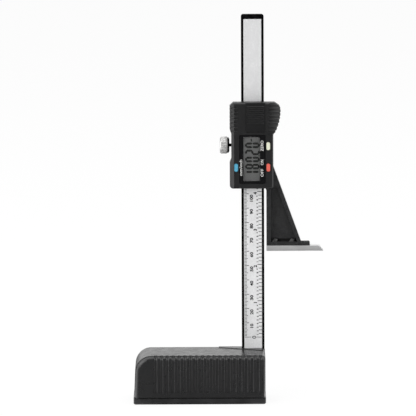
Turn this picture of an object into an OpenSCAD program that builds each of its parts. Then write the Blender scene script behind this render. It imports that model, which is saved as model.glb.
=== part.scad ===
// Digital height gauge for a bench: a fluted moulded base on a steel ground plate, an upright rule
// beam held in the base by a wedge clamp, a digital slider with a ribbed thumb grip, and a steel
// measuring blade carried by a triangular arm.
// X runs to the right, -Y is the front, Z is up. The origin is the centre of the ground plate's
// underside. All sizes are in millimetres.

/* [Base] */
// Width of the ground plate
base_w = 91; // [84:1:110]
// Depth of the base, front to back
base_d = 39; // [36:1:50]
// Height of the base with its ground plate
base_h = 33.5; // [28:0.5:42]
// Thickness of the steel ground plate
ground_t = 4; // [3:0.5:6]
// Height of the shadow gap between ground plate and shell
shadow_gap = 0.8; // [0.4:0.1:1.2]
// How far the shell stands in from the edge of the ground plate
shell_inset = 0.35; // [0.2:0.05:1]
// Wall of the moulded shell
base_wall = 2.8; // [2:0.2:3.4]
// Radius of the big top left shoulder
shoulder_r = 11; // [7:0.5:14]
// Radius of the rounded front edge
edge_r = 3.6; // [2.5:0.1:4.5]
// Radius of the top right corner
corner_r = 2.4; // [1.5:0.1:3]
// How far the left side leans in over its height
side_draft = 0.8; // [0:0.1:2]
// Distance from one flute to the next
flute_pitch = 4; // [3.4:0.2:6]
// Radius of a flute
flute_r = 1.6; // [1.2:0.1:1.65]
// Depth of a flute
flute_depth = 0.8; // [0.4:0.1:1.1]
// Plain strip to the left of the flutes
flute_left = 15; // [12:0.5:24]
// Plain band below the flutes
flute_band = 3.2; // [2:0.2:6]

/* [Base fixings] */
// Diameter of a holding magnet
magnet_d = 12; // [8:0.5:14]
// Thickness of a holding magnet
magnet_t = 2.6; // [1.5:0.1:2.8]
// Thread diameter of the ground plate screws
foot_screw_d = 3; // [2.5:0.5:3.5]
// Length of the wedge clamp along the rear edge
clamp_len = 32; // [28:1:38]
// Depth of the wedge clamp at its narrow end
clamp_tip = 3.5; // [3:0.5:4.5]
// Depth of the wedge clamp at the right side of the base
clamp_deep = 17; // [14:0.5:20]
// Thread diameter of the screws in the wedge clamp
clamp_screw_d = 3; // [2:0.5:3]

/* [Beam] */
// Width of the rule beam
beam_w = 15.6; // [14:0.2:18]
// Thickness of the rule beam
beam_t = 3.5; // [3:0.1:4]
// Height of the beam's top end above the ground
beam_top = 265.6; // [262:0.2:300]
// Height of the beam's foot above the ground
beam_foot = 8; // [6:0.5:14]
// Distance from the rear of the base to the face of the beam
beam_setback = 7.5; // [7:0.1:9]
// Distance from the right side of the shell to the edge of the beam
beam_inset = 0.3; // [0.2:0.05:1]
// Radius of the beam's top corners
beam_corner = 1.6; // [0.8:0.1:2.5]
// Width of the scale label
label_w = 12.2; // [10:0.2:13]
// Thickness of the scale label
label_t = 0.15; // [0.1:0.05:0.25]
// Thickness of the stator strip under the label
stator_t = 0.25; // [0.2:0.05:0.4]
// Bare length of beam above the label
label_top_gap = 3.3; // [2:0.1:5]

/* [Slider] */
// Height of the blade's underside above the ground as shown
rest_h = 101.7; // [60:0.1:110]
// Height of the slider
slider_h = 59.2; // [56:0.2:66]
// Width of the slider to the left of the beam
rail_left = 6.9; // [6.2:0.1:8]
// Width of the slider to the right of the beam
rail_right = 6.3; // [6.2:0.1:8]
// Thickness of the slider in front of the beam
front_t = 11; // [10.6:0.1:14]
// Thickness of the frame's bed in front of the beam
bed_t = 1.4; // [1.2:0.1:2]
// Thickness of the back plate
back_t = 1.8; // [1.4:0.1:2.4]
// Sliding clearance at the beam's edges
side_gap = 0.15; // [0.1:0.05:0.25]
// Sliding clearance in front of the beam
face_gap = 0.4; // [0.3:0.05:0.5]
// Sliding clearance behind the beam
rear_gap = 0.3; // [0.2:0.05:0.5]
// Travel left between the slider and the end stop
travel_up = 50; // [40:1:52]

/* [Grip] */
// How far the thumb grip stands out of the right side
grip_out = 5.1; // [3:0.1:6]
// Radius of the thumb grip's curve
grip_r = 33; // [28:0.5:45]
// Number of grooves in the thumb grip
grip_grooves = 8; // [5:1:8]
// Distance from one grip groove to the next
groove_pitch = 2.5; // [2.2:0.1:2.6]
// Radius of a grip groove
groove_r = 0.7; // [0.4:0.05:0.8]

/* [Display and keys] */
// Width of the display's black bezel
bezel_w = 17.9; // [16.5:0.1:18.2]
// Height of the display's black bezel
bezel_h = 33.6; // [32:0.1:35]
// Width of the display's visible glass
lcd_w = 11.4; // [10:0.1:12.4]
// Height of the display's visible glass
lcd_h = 30.5; // [28:0.1:31.4]
// Width of a key
key_w = 2.5; // [2.2:0.1:3]
// Height of a key
key_h = 5.4; // [4.5:0.1:6.4]
// Distance that a key travels when pressed
key_travel = 0.5; // [0.3:0.1:0.5]
// Thickness of the case's front wall
case_wall = 1.8; // [1.5:0.1:2]
// Thickness of the circuit board
board_t = 1; // [0.8:0.1:1.2]

/* [Battery] */
// Diameter of the button cell
cell_d = 11.6; // [9.5:0.1:11.8]
// Thickness of the button cell
cell_t = 5.3; // [3.6:0.1:5.4]
// Width of the battery door
door_w = 13; // [12.4:0.1:13.6]
// Thickness of the battery door
door_t = 1.6; // [1.5:0.1:1.7]
// Number of grip ribs on the battery door
door_ribs = 9; // [5:1:9]

/* [Lock] */
// Diameter of the knurled lock knob
knob_d = 11.8; // [9:0.2:13]
// Length of the knurled lock knob
knob_len = 6.5; // [5:0.1:8]
// Thread diameter of the lock screw
lock_d = 2.1; // [1.6:0.1:2.2]
// Distance from the knob to the side of the slider
knob_gap = 1.3; // [1.2:0.1:3]
// Distance from the lock pad to the beam when unlocked
pad_gap = 0.4; // [0.3:0.05:0.6]

/* [Arm and blade] */
// Distance from the slider's underside to the top of the blade
arm_drop = 41.1; // [35:0.1:44]
// Depth of the arm, front to back
arm_d = 6.8; // [6.4:0.1:8]
// Width of the arm at its foot, without the toe
arm_foot = 23.8; // [20:0.1:30]
// Length of the arm's foot with its toe
arm_toe = 29.8; // [26:0.1:38]
// Width of the arm's rims
arm_rim = 3; // [2.4:0.1:3.6]
// Thickness of the arm's web
arm_web = 2; // [1.4:0.1:2.6]
// Gap between the beam and the arm
arm_gap = 1.6; // [1.6:0.1:2.2]
// Thickness of the arm's foot
foot_t = 2.5; // [2:0.1:3.5]
// Length of the measuring blade
blade_len = 39; // [34:0.5:60]
// Thickness of the measuring blade
blade_t = 3.7; // [3:0.1:5]
// Length of the blade's bevelled tip
blade_bevel = 2.9; // [1.5:0.1:5]
// Thread diameter of the blade screws
blade_screw_d = 2.5; // [2:0.1:3]

/* [Hidden] */
$fn = 48;

// Cuts run this much past the face that they open
over = 1;
// Clearance round a screw's shank, a key or a door
fit = 0.1;

// Base
shell_z0 = ground_t + shadow_gap;
shell_right = base_w / 2 - shell_inset;
shell_left = -base_w / 2 + shell_inset;
rear_y = base_d / 2;
shell_front = -base_d / 2 + shell_inset;
shoulder_x = shell_left + side_draft + shoulder_r;
shoulder_z = base_h - shoulder_r;
flute_top = base_h - edge_r;
flute_z0 = shell_z0 + flute_band;
flute_x0 = shell_left + flute_left;
flute_count = floor((shell_right - flute_x0 - corner_r) / flute_pitch) + 1;
ground_chamfer = 0.7;
ground_corner = 1.5;
step_in = shell_inset + 1.2;
boss_r = foot_screw_d / 2 + 1.5;
foot_boss_top = shell_z0 + 11;
foot_set = 0.3;
foot_head_r = foot_screw_d * 0.95;
foot_head_h = foot_screw_d * 0.5;
foot_hole_r = foot_screw_d / 2 + fit;
boss_in = base_wall + boss_r - 0.8;
magnet_set = 0.15;
magnet_spots = [for (sx = [-1, 1], sy = [-1, 1]) [sx * base_w * 0.2, sy * base_d * 0.22]];
clamp_x0 = shell_right - clamp_len;
clamp_slope = (clamp_deep - clamp_tip) / clamp_len;
boss_left = shell_left + side_draft + boss_in;
boss_front = shell_front + boss_in + 1;
boss_rear = rear_y - boss_in;
boss_right = shell_right - boss_in;
boss_mid = clamp_x0 - base_wall - boss_r;
foot_spots = [[boss_left, boss_front], [boss_left, boss_rear], [boss_right, boss_front],
    [boss_mid, boss_rear]];

// Beam
beam_x1 = shell_right - beam_inset;
beam_x0 = beam_x1 - beam_w;
beam_xc = (beam_x0 + beam_x1) / 2;
beam_y0 = rear_y - beam_setback;
beam_y1 = beam_y0 + beam_t;
beam_yc = (beam_y0 + beam_y1) / 2;
label_lift = 0.05;
recess_d = label_t + stator_t - label_lift;
label_z0 = base_h + 0.3;
label_z1 = beam_top - label_top_gap;

// Wedge clamp
clamp_z0 = shell_z0;
clamp_proud = 0.1;
clamp_fit = 0.12;
clamp_hole_r = clamp_screw_d / 2 + fit;
clamp_head_r = clamp_screw_d * 0.9;
clamp_head_h = clamp_screw_d * 0.5;
clamp_screw_len = 11;
clamp_boss_y = rear_y - clamp_screw_len - 1.5;
beam_screw_z = [base_h * 0.42, base_h * 0.74];
clamp_screw_x = clamp_x0 + clamp_head_r + 1.8;
clamp_screw_z = [base_h * 0.42, base_h * 0.74];
clamp_boss_y1 = clamp_seam_y(clamp_screw_x + boss_r) - clamp_fit - 0.3;

// Slider
sx0 = beam_x0 - rail_left;
sx1 = beam_x1 + rail_right;
sz0 = rest_h + blade_t + arm_drop;
sz1 = sz0 + slider_h;
rail_y = beam_y0 - face_gap;
back_y = beam_y1 + rear_gap;
bed_y = rail_y - bed_t;
case_y = beam_y0 - front_t;
side_step = 0.2;
side_wall = 1.6;
frame_inset = 0.25;
foot_r = 2;
corner_cut = 2.4;
waist = 1.1;
waist_z0 = sz0 + 20;
waist_z1 = sz0 + 38;
left_bevel = 2.9;
front_bevel = 0.8;
screw_d = 1.9;
screw_in_x = 3.1;
screw_in_z = 2.7;
screw_head_r = 1.7;
screw_head_h = 0.9;
case_boss_r = 1.9;
case_screw_len = 13;
arm_screw_len = 14;
back_screws = [[sx0 + screw_in_x, sz0 + screw_in_z], [sx0 + screw_in_x, sz1 - screw_in_z],
    [sx1 - screw_in_x, sz1 - screw_in_z]];

// Thumb grip
grip_z = sz1 - 5.5;
grip_cx = sx1 + grip_out - grip_r;
grip_foot = sz1 - 20.5;
grip_top = sz1 - 4.6;
grip_in = 3.4;
grip_slope = 4.2;
groove_z0 = sz1 - 2.4;
left_grooves = 7;
left_pitch = 2.6;

// Display
bezel_x0 = sx0 + 5.5;
bezel_z1 = sz1 - 22.1;
bezel_z0 = bezel_z1 - bezel_h;
bezel_t = 0.9;
bezel_set = 0.15;
lcd_x0 = bezel_x0 + 2.7;
lcd_z1 = bezel_z1 - 1.4;
lcd_z0 = lcd_z1 - lcd_h;
lcd_rim = 0.6;
lcd_t = 1.6;
lcd_y = case_y + case_wall + 0.1;
connector_w = 1.8;

// Circuit board and keys
board_y = rail_y - board_t;
board_z0 = sz0 + 4;
board_z1 = bezel_z1 + 2.6;
board_x0 = sx0 + 1.1;
board_x1 = sx1 - 1.7;
chip_r = 3.4;
dome_h = 0.4;
key_proud = 0.65;
key_fit = 0.12;
key_flange = 0.55;
key_flange_t = 0.7;
key_seat = 0.15;
key_round = 1.1;
key_right = sx1 - 3.5;
key_left = sx0 + 3.3;
upper_key_z = sz1 - 29.8;
lower_key_z = sz1 - 44.6;
keys = [[key_right, upper_key_z], [key_right, lower_key_z], [key_left, lower_key_z]];
key_stem_end = board_y - dome_h - key_travel - 0.1;

// Battery
cell_x = beam_xc + 1.9;
cell_z = sz1 - 10.2;
well_r = cell_d / 2 + 0.3;
cell_y = case_y + door_t + 0.5;
contact_t = 0.25;
well_y = cell_y + cell_t + contact_t;
contact_w = 2;
plus_x = cell_x + cell_d / 2;
plus_len = 3.5;
door_x0 = cell_x - door_w / 2;
door_x1 = cell_x + door_w / 2;
door_z0 = sz1 - 20.2;
door_lip = 0.7;
door_lip_t = 0.7;
door_fit = 0.15;
rib_pitch = 1.4;
rib_proud = 0.35;

// Lock screw
lock_z = sz1 - 30.5;
lock_nut_r = 1.8;
lock_nut_x = sx0 + 1.1;
pad_r = 1.5;
pad_fit = 0.05;
pad_len = 1.7;
pad_x = beam_x0 - pad_gap - pad_len;
lock_nut_len = pad_x - 0.6 - lock_nut_x;
knob_x1 = sx0 - knob_gap;
knob_x0 = knob_x1 - knob_len;
knob_flutes = 30;

// Arm
arm_x0 = beam_x1 + arm_gap;
arm_y1 = rail_y + arm_d;
blade_z1 = rest_h + blade_t;
foot_z1 = blade_z1 + foot_t;
arm_lean = 0.3627;
arm_gusset = arm_gap - 0.3;
arm_relief = 0.6;
tongue_x1 = sx1 - 0.7;
arm_screw_rise = 22.9;
tongue_z1 = sz0 + arm_screw_rise + 3.1;
arm_screw_x = sx1 - 2.6;
arm_screws_z = [sz0 + screw_in_z, sz0 + arm_screw_rise];
case_bosses = concat(back_screws, [for (z = arm_screws_z) [arm_screw_x, z]]);
blade_screw_x = [arm_x0 + arm_foot * 0.26, arm_x0 + arm_foot * 0.757];
blade_screw_y = rail_y + (arm_d - arm_web) / 2;

// End stop
stop_h = 6;
stop_w = 8;
stop_t = 1.8;
stop_screw_len = 2.6;
stop_z0 = sz1 - side_step + travel_up + 0.3;

// Basic shapes

function arc(cx, cz, r, a0, a1, n) =
    [for (i = [0:n]) let (a = a0 + (a1 - a0) * i / n) [cx + r * cos(a), cz + r * sin(a)]];

// Y of the wedge clamp's slanting face at x
function clamp_seam_y(x) = rear_y - clamp_tip - (x - clamp_x0) * clamp_slope;

// A box between two corners
module block(x0, x1, y0, y1, z0, z1) {
    translate([x0, y0, z0]) cube([x1 - x0, y1 - y0, z1 - z0]);
}

// A front view outline, x across and z up, given thickness from y0 back to y1
module panel(y0, y1) {
    translate([0, y1, 0]) rotate([90, 0, 0]) linear_extrude(y1 - y0) children();
}

// A round rod along X, Y or Z
module rod_x(x0, x1, y, z, r, r2 = undef) {
    translate([x0, y, z]) rotate([0, 90, 0])
        cylinder(h = x1 - x0, r1 = r, r2 = is_undef(r2) ? r : r2);
}
module rod_y(y0, y1, x, z, r, r2 = undef) {
    translate([x, y0, z]) rotate([-90, 0, 0])
        cylinder(h = y1 - y0, r1 = r, r2 = is_undef(r2) ? r : r2);
}
module rod_z(z0, z1, x, y, r, r2 = undef) {
    translate([x, y, z0]) cylinder(h = z1 - z0, r1 = r, r2 = is_undef(r2) ? r : r2);
}

// A rectangle with round corners, made of true arcs
module round_rect(x0, x1, z0, z1, r) {
    translate([x0 + r, z0]) square([x1 - x0 - 2 * r, z1 - z0]);
    translate([x0, z0 + r]) square([x1 - x0, z1 - z0 - 2 * r]);
    for (x = [x0 + r, x1 - r], z = [z0 + r, z1 - r]) translate([x, z]) circle(r);
}

// A flat-head screw whose head sinks into the rear face at y, pointing to the front
module rear_screw(x, z, y, len, d, head_r, head_h) {
    rod_y(y - head_h, y, x, z, d / 2, head_r);
    rod_y(y - len, y - head_h, x, z, d / 2);
}

// Its hole, with room all round
module rear_screw_hole(x, z, y, len, d, head_r, head_h) {
    rod_y(y - head_h - fit, y, x, z, d / 2 + fit, head_r + fit);
    rod_y(y - 0.01, y + over, x, z, head_r + fit);
    rod_y(y - len - fit, y - head_h, x, z, d / 2 + fit);
}

// Base

// Front outline of the shell, its left side leaning in; inset moves it inwards all round
module shell_outline(inset = 0, right_share = 1) {
    right = shell_right - inset * right_share;
    top = base_h - inset;
    polygon(concat(
        [[shell_left + inset, shell_z0 - over], [right, shell_z0 - over]],
        arc(right - corner_r, top - corner_r, corner_r, 0, 90, 5),
        arc(shoulder_x, shoulder_z, shoulder_r - inset, 90, 174, 12)));
}

// The shell's outer form: the full outline from behind the rolled front edge to the rear
module shell_form() {
    intersection() {
        hull() {
            panel(shell_front + edge_r, rear_y) shell_outline();
            for (a = [0:18:90])
                panel(shell_front + edge_r * (1 - sin(a)), shell_front + edge_r + 0.1)
                    shell_outline(edge_r * (1 - cos(a)), 0.4);
        }
        block(-base_w, base_w, -base_d, base_d, shell_z0, base_h + over);
    }
}

// Plan of the wedge clamp, wide at the right side of the base
module clamp_plan(grow = 0) {
    polygon([[clamp_x0 - grow, rear_y + grow], [shell_right + grow, rear_y + grow],
        [shell_right + grow, rear_y - clamp_deep - grow],
        [shell_right, rear_y - clamp_deep - grow], [clamp_x0 - grow, rear_y - clamp_tip - grow]]);
}

// One front flute: up the face, then leaning back with the rolled edge in two steps
module flute(x) {
    reach = edge_r + flute_r - flute_depth;
    rod_z(flute_z0, flute_top, x, shell_front + edge_r - reach, flute_r);
    for (a = [0, 30, 60]) translate([x, shell_front + edge_r, flute_top]) rotate([-a, 0, 0])
        rod_z(-edge_r * 0.27, edge_r, 0, -reach, flute_r);
}

module base_shell() {
    color([0.09, 0.09, 0.1]) difference() {
        union() {
            difference() {
                shell_form();
                // Hollow, open towards the ground plate
                intersection() {
                    panel(shell_front + base_wall, rear_y - base_wall) shell_outline(base_wall);
                    linear_extrude(base_h) hollow_plan();
                }
                translate([0, 0, shell_z0 - over]) linear_extrude(base_h) clamp_plan(clamp_fit);
                for (i = [0:flute_count - 1]) flute(flute_x0 + i * flute_pitch);
            }
            for (p = foot_spots) rod_z(shell_z0, foot_boss_top, p.x, p.y, boss_r);
            // Bosses behind the screws of the wedge clamp
            for (z = clamp_screw_z)
                rod_y(clamp_boss_y, clamp_boss_y1, clamp_screw_x, z, boss_r);
        }
        for (p = foot_spots)
            rod_z(shell_z0 - over, foot_boss_top - 1.5, p.x, p.y, foot_screw_d / 2 + 0.05);
        for (z = clamp_screw_z)
            rod_y(clamp_boss_y + 1, rear_y, clamp_screw_x, z, clamp_screw_d / 2 + 0.05);
    }
}

// Plan of the shell's hollow: a wall's thickness clear of the wedge clamp
module hollow_plan() {
    difference() {
        square([2 * base_w, 2 * base_d], center = true);
        polygon([[clamp_x0 - base_wall, rear_y], [2 * base_w, rear_y],
            [2 * base_w, rear_y - clamp_deep - base_wall - clamp_slope * (2 * base_w - shell_right)],
            [clamp_x0 - base_wall, rear_y - clamp_tip - base_wall]]);
    }
}

module ground_plate() {
    color([0.08, 0.08, 0.09]) difference() {
        union() {
            hull() {
                translate([0, 0, ground_chamfer]) linear_extrude(ground_t - ground_chamfer)
                    round_plan(base_w, base_d, ground_corner);
                linear_extrude(ground_t)
                    round_plan(base_w - 2 * ground_chamfer, base_d - 2 * ground_chamfer, ground_corner);
            }
            // Raised step that carries the shell and leaves the shadow gap
            translate([0, 0, ground_t]) linear_extrude(shadow_gap)
                round_plan(base_w - 2 * step_in, base_d - 2 * step_in, ground_corner);
        }
        for (p = magnet_spots) rod_z(-over, magnet_set + magnet_t, p.x, p.y, magnet_d / 2);
        for (p = foot_spots) {
            rod_z(-over, shell_z0 + over, p.x, p.y, foot_hole_r);
            rod_z(-over, foot_set, p.x, p.y, foot_head_r + fit);
            rod_z(foot_set - 0.01, foot_set + foot_head_h + fit, p.x, p.y, foot_head_r + fit,
                foot_hole_r);
        }
    }
}

module round_plan(w, d, r) {
    translate([-w / 2, -d / 2]) round_rect(0, w, 0, d, r);
}

module base_magnets() {
    color([0.7, 0.7, 0.72]) for (p = magnet_spots)
        rod_z(magnet_set, magnet_set + magnet_t, p.x, p.y, magnet_d / 2);
}

module ground_plate_screws() {
    color([0.35, 0.35, 0.37]) for (p = foot_spots) difference() {
        union() {
            rod_z(foot_set, foot_set + foot_head_h, p.x, p.y, foot_head_r, foot_screw_d / 2);
            rod_z(foot_set + foot_head_h, foot_boss_top - 3, p.x, p.y, foot_screw_d / 2);
        }
        cross_recess(p.x, p.y, foot_set, foot_screw_d);
    }
}

// A cross recess cut upwards into a screw head whose face is at z
module cross_recess(x, y, z, d) {
    for (a = [0, 90]) translate([x, y, z]) rotate([0, 0, a])
        cube([d * 1.1, d * 0.22, d * 0.5], center = true);
}

module beam_clamp() {
    top = base_h + clamp_proud;
    color([0.09, 0.09, 0.1]) difference() {
        intersection() {
            panel(-base_d, rear_y) polygon(concat(
                [[0, clamp_z0], [shell_right, clamp_z0]],
                arc(shell_right - corner_r, top - corner_r, corner_r, 0, 90, 8), [[0, top]]));
            translate([0, 0, clamp_z0]) linear_extrude(base_h) clamp_plan();
        }
        // Slot for the beam, open to the right
        block(beam_x0 - fit, shell_right + over, beam_y0 - label_lift - fit, beam_y1 + fit,
            beam_foot, top + over);
        for (z = beam_screw_z) {
            rear_screw_hole(beam_xc, z, rear_y, clamp_screw_len, clamp_screw_d, clamp_head_r,
                clamp_head_h);
        }
        for (z = clamp_screw_z)
            rear_screw_hole(clamp_screw_x, z, rear_y, clamp_screw_len, clamp_screw_d,
                clamp_head_r, clamp_head_h);
    }
}

module clamp_screws() {
    color([0.3, 0.3, 0.32]) for (z = clamp_screw_z)
        rear_screw(clamp_screw_x, z, rear_y, clamp_screw_len - 0.5, clamp_screw_d, clamp_head_r,
            clamp_head_h);
}

module beam_screws() {
    color([0.3, 0.3, 0.32]) for (z = beam_screw_z)
        rear_screw(beam_xc, z, rear_y, clamp_screw_len - 0.5, clamp_screw_d, clamp_head_r,
            clamp_head_h);
}

// Beam

module beam() {
    color([0.05, 0.05, 0.055]) difference() {
        panel(beam_y0, beam_y1) {
            translate([beam_x0, beam_foot]) square([beam_w, beam_top - beam_foot - beam_corner]);
            translate([beam_x0 + beam_corner, beam_foot])
                square([beam_w - 2 * beam_corner, beam_top - beam_foot]);
            for (x = [beam_x0 + beam_corner, beam_x1 - beam_corner])
                translate([x, beam_top - beam_corner]) circle(beam_corner);
        }
        // Shallow bed for the stator strip and the label
        block(beam_xc - label_w / 2, beam_xc + label_w / 2, beam_y0 - over, beam_y0 + recess_d,
            label_z0, label_z1);
        for (z = beam_screw_z)
            rod_y(beam_y0 - over, beam_y1 + over, beam_xc, z, clamp_hole_r);
        rod_y(beam_y1 - stop_screw_len, beam_y1 + over, beam_xc, stop_z0 + stop_h / 2,
            screw_d / 2 + 0.05);
    }
}

module stator_strip() {
    color([0.72, 0.45, 0.2])
        block(beam_xc - label_w / 2, beam_xc + label_w / 2, beam_y0 + recess_d - stator_t,
            beam_y0 + recess_d, label_z0, label_z1);
}

module scale_label() {
    color([0.8, 0.8, 0.82])
        block(beam_xc - label_w / 2, beam_xc + label_w / 2, beam_y0 - label_lift,
            beam_y0 - label_lift + label_t, label_z0, label_z1);
}

// Stop on the back of the beam that keeps the slider on
module end_stop() {
    color([0.12, 0.12, 0.13]) difference() {
        panel(beam_y1, beam_y1 + stop_t)
            round_rect(beam_xc - stop_w / 2, beam_xc + stop_w / 2, stop_z0, stop_z0 + stop_h, 0.8);
        rear_screw_hole(beam_xc, stop_z0 + stop_h / 2, beam_y1 + stop_t, stop_t + stop_screw_len,
            screw_d, screw_head_r, screw_head_h);
    }
}

module end_stop_screw() {
    color([0.6, 0.6, 0.62])
        rear_screw(beam_xc, stop_z0 + stop_h / 2, beam_y1 + stop_t, stop_t + stop_screw_len - 0.2,
            screw_d, screw_head_r, screw_head_h);
}

// Slider

// X of the thumb grip's edge at height z
function grip_x(z, out = grip_out) =
    sx1 + out - grip_r + sqrt(grip_r * grip_r - (z - grip_z) * (z - grip_z));

// Front outline of the slider: waisted at the lock knob, swelling into the thumb grip
module slider_outline(inset = 0) {
    left = sx0 + inset;
    right = sx1 - inset;
    bottom = sz0 + inset;
    top = sz1 - inset;
    grip_a0 = asin((grip_foot - grip_z) / grip_r);
    grip_a1 = asin((grip_top - grip_z) / grip_r);
    polygon(concat(
        arc(left - waist + foot_r, bottom + foot_r, foot_r, 180, 270, 6),
        [[right - 1.2, bottom], [right, bottom + 1.2], [right, grip_foot - 1.2]],
        arc(grip_cx - inset, grip_z, grip_r, grip_a0, grip_a1, 14),
        [[grip_x(grip_top) - inset - 1.1, top - 2.2], [grip_x(grip_top) - inset - 4.3, top],
            [left - waist + corner_cut, top], [left - waist, top - corner_cut],
            [left - waist, waist_z1 + 2.4], [left, waist_z1],
            [left, waist_z0], [left - waist, waist_z0 - 2.4]]));
}

module slider_frame() {
    color([0.1, 0.1, 0.11]) difference() {
        panel(bed_y, back_y) slider_outline(frame_inset);
        // Channel for the beam, and the window for the circuit board in the bed
        block(beam_x0 - side_gap, beam_x1 + side_gap, rail_y, back_y + over, sz0 - over, sz1 + over);
        block(board_x0 - fit, board_x1 + fit, bed_y - over, rail_y, board_z0 - fit, board_z1 + fit);
        // Pocket for the tongue of the arm
        block(arm_x0, sx1 + over, rail_y, back_y + over, sz0 - over, tongue_z1);
        for (p = back_screws) rod_y(bed_y - over, back_y + over, p.x, p.y, screw_d / 2 + fit);
        rod_y(bed_y - over, rail_y + over, arm_screw_x, arm_screws_z[0], screw_d / 2 + fit);
        // Lock screw: clearance, seat of the nut, and bore for the pad
        rod_x(sx0 - over - waist, lock_nut_x, beam_yc, lock_z, lock_d / 2 + 2 * fit);
        rod_x(lock_nut_x, lock_nut_x + lock_nut_len, beam_yc, lock_z, lock_nut_r);
        rod_x(lock_nut_x + lock_nut_len - 0.01, beam_x0, beam_yc, lock_z, pad_r + pad_fit);
        // Grip grooves run on over the frame
        for (i = [0:grip_grooves - 1])
            rod_y(bed_y - over, back_y + over, grip_x(groove_z(i)) + groove_r * 0.4, groove_z(i),
                groove_r);
    }
}

module back_plate() {
    y1 = back_y + back_t;
    color([0.1, 0.1, 0.11]) difference() {
        panel(back_y, y1) round_rect(sx0 + 0.6, sx1 - 0.6, sz0 + side_step, sz1 - side_step, 2);
        block(arm_x0 - 0.2, sx1 + over, back_y - over, y1 + over, sz0 - over, tongue_z1 + 0.2);
        for (p = back_screws)
            rear_screw_hole(p.x, p.y, y1, back_t + over, screw_d, screw_head_r, screw_head_h);
    }
}

module back_plate_screws() {
    color([0.6, 0.6, 0.62]) for (p = back_screws)
        rear_screw(p.x, p.y, back_y + back_t, case_screw_len, screw_d, screw_head_r, screw_head_h);
}

module lock_nut() {
    color([0.72, 0.58, 0.25]) difference() {
        rod_x(lock_nut_x, lock_nut_x + lock_nut_len, beam_yc, lock_z, lock_nut_r);
        rod_x(lock_nut_x - over, lock_nut_x + lock_nut_len + over, beam_yc, lock_z,
            lock_d / 2 + pad_fit);
    }
}

module lock_pad() {
    color([0.72, 0.58, 0.25]) rod_x(pad_x, pad_x + pad_len, beam_yc, lock_z, pad_r);
}

// Knurled knob and threaded shank in one turned piece, with a round groove behind the knurl
module lock_screw() {
    knob_r = knob_d / 2;
    edge = 0.9;
    color([0.72, 0.72, 0.74]) difference() {
        translate([knob_x0, beam_yc, lock_z]) rotate([0, 90, 0]) rotate_extrude()
            polygon([[0, 0.4], [knob_r - 2, 0.4], [knob_r - 1.6, 0], [knob_r - edge, 0],
                [knob_r, edge], [knob_r, knob_len - 1.9], [knob_r - 0.5, knob_len - 1.5],
                [knob_r - 0.5, knob_len - 1.1], [knob_r - 0.2, knob_len - 0.9],
                [knob_r - 1.6, knob_len], [lock_d / 2, knob_len],
                [lock_d / 2, pad_x - knob_x0 - 0.05], [0, pad_x - knob_x0 - 0.05]]);
        for (i = [0:knob_flutes - 1]) let (a = 360 * i / knob_flutes)
            rod_x(knob_x0 - over, knob_x1 - 1.7, beam_yc + (knob_r + 0.15) * cos(a),
                lock_z + (knob_r + 0.15) * sin(a), 0.45);
    }
}

// Display case

// A bevel along the front left or front right edge, cut as a long prism
module edge_bevel(x, size, dir, z0, z1) {
    translate([x, case_y, z0]) scale([dir, 1, 1]) linear_extrude(z1 - z0)
        polygon([[-over, -over], [size + over, -over], [-over, size + over]]);
}

function groove_z(i) = groove_z0 - i * groove_pitch;
function left_groove_z(i) = sz1 - 3.4 - i * left_pitch;

module grip_cuts() {
    run = grip_out + grip_in + over;
    angle = atan(grip_slope / (grip_out + grip_in));
    translate([sx1 - grip_in, case_y, grip_foot - over]) linear_extrude(sz1 - grip_foot + 2 * over)
        polygon([[0, 0], [run, run * tan(angle)], [run, -over], [0, -over]]);
    for (i = [0:grip_grooves - 1]) {
        z = groove_z(i);
        translate([sx1 - grip_in, case_y - groove_r * 0.3, z]) rotate([0, 0, angle])
            rod_x(0.6, run + over, 0, 0, groove_r);
        rod_y(case_y, bed_y + over, grip_x(z) + groove_r * 0.4, z, groove_r);
    }
    for (i = [0:left_grooves - 1]) {
        z = left_groove_z(i);
        x = sx0 - waist;
        translate([x, case_y + left_bevel, z]) rotate([0, 0, -45])
            rod_x(-over, left_bevel * 1.5 + 0.4, 0, -0.15, 0.6);
        rod_y(case_y + left_bevel, bed_y + over, x - 0.15, z, 0.6);
        rod_x(x + left_bevel, x + left_bevel + 2.4, case_y - 0.15, z, 0.6);
    }
}

module key_outline(x, z, grow = 0) {
    round_rect(x - key_w / 2 - grow, x + key_w / 2 + grow, z - key_h / 2 - grow,
        z + key_h / 2 + grow, key_round + grow);
}

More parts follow.
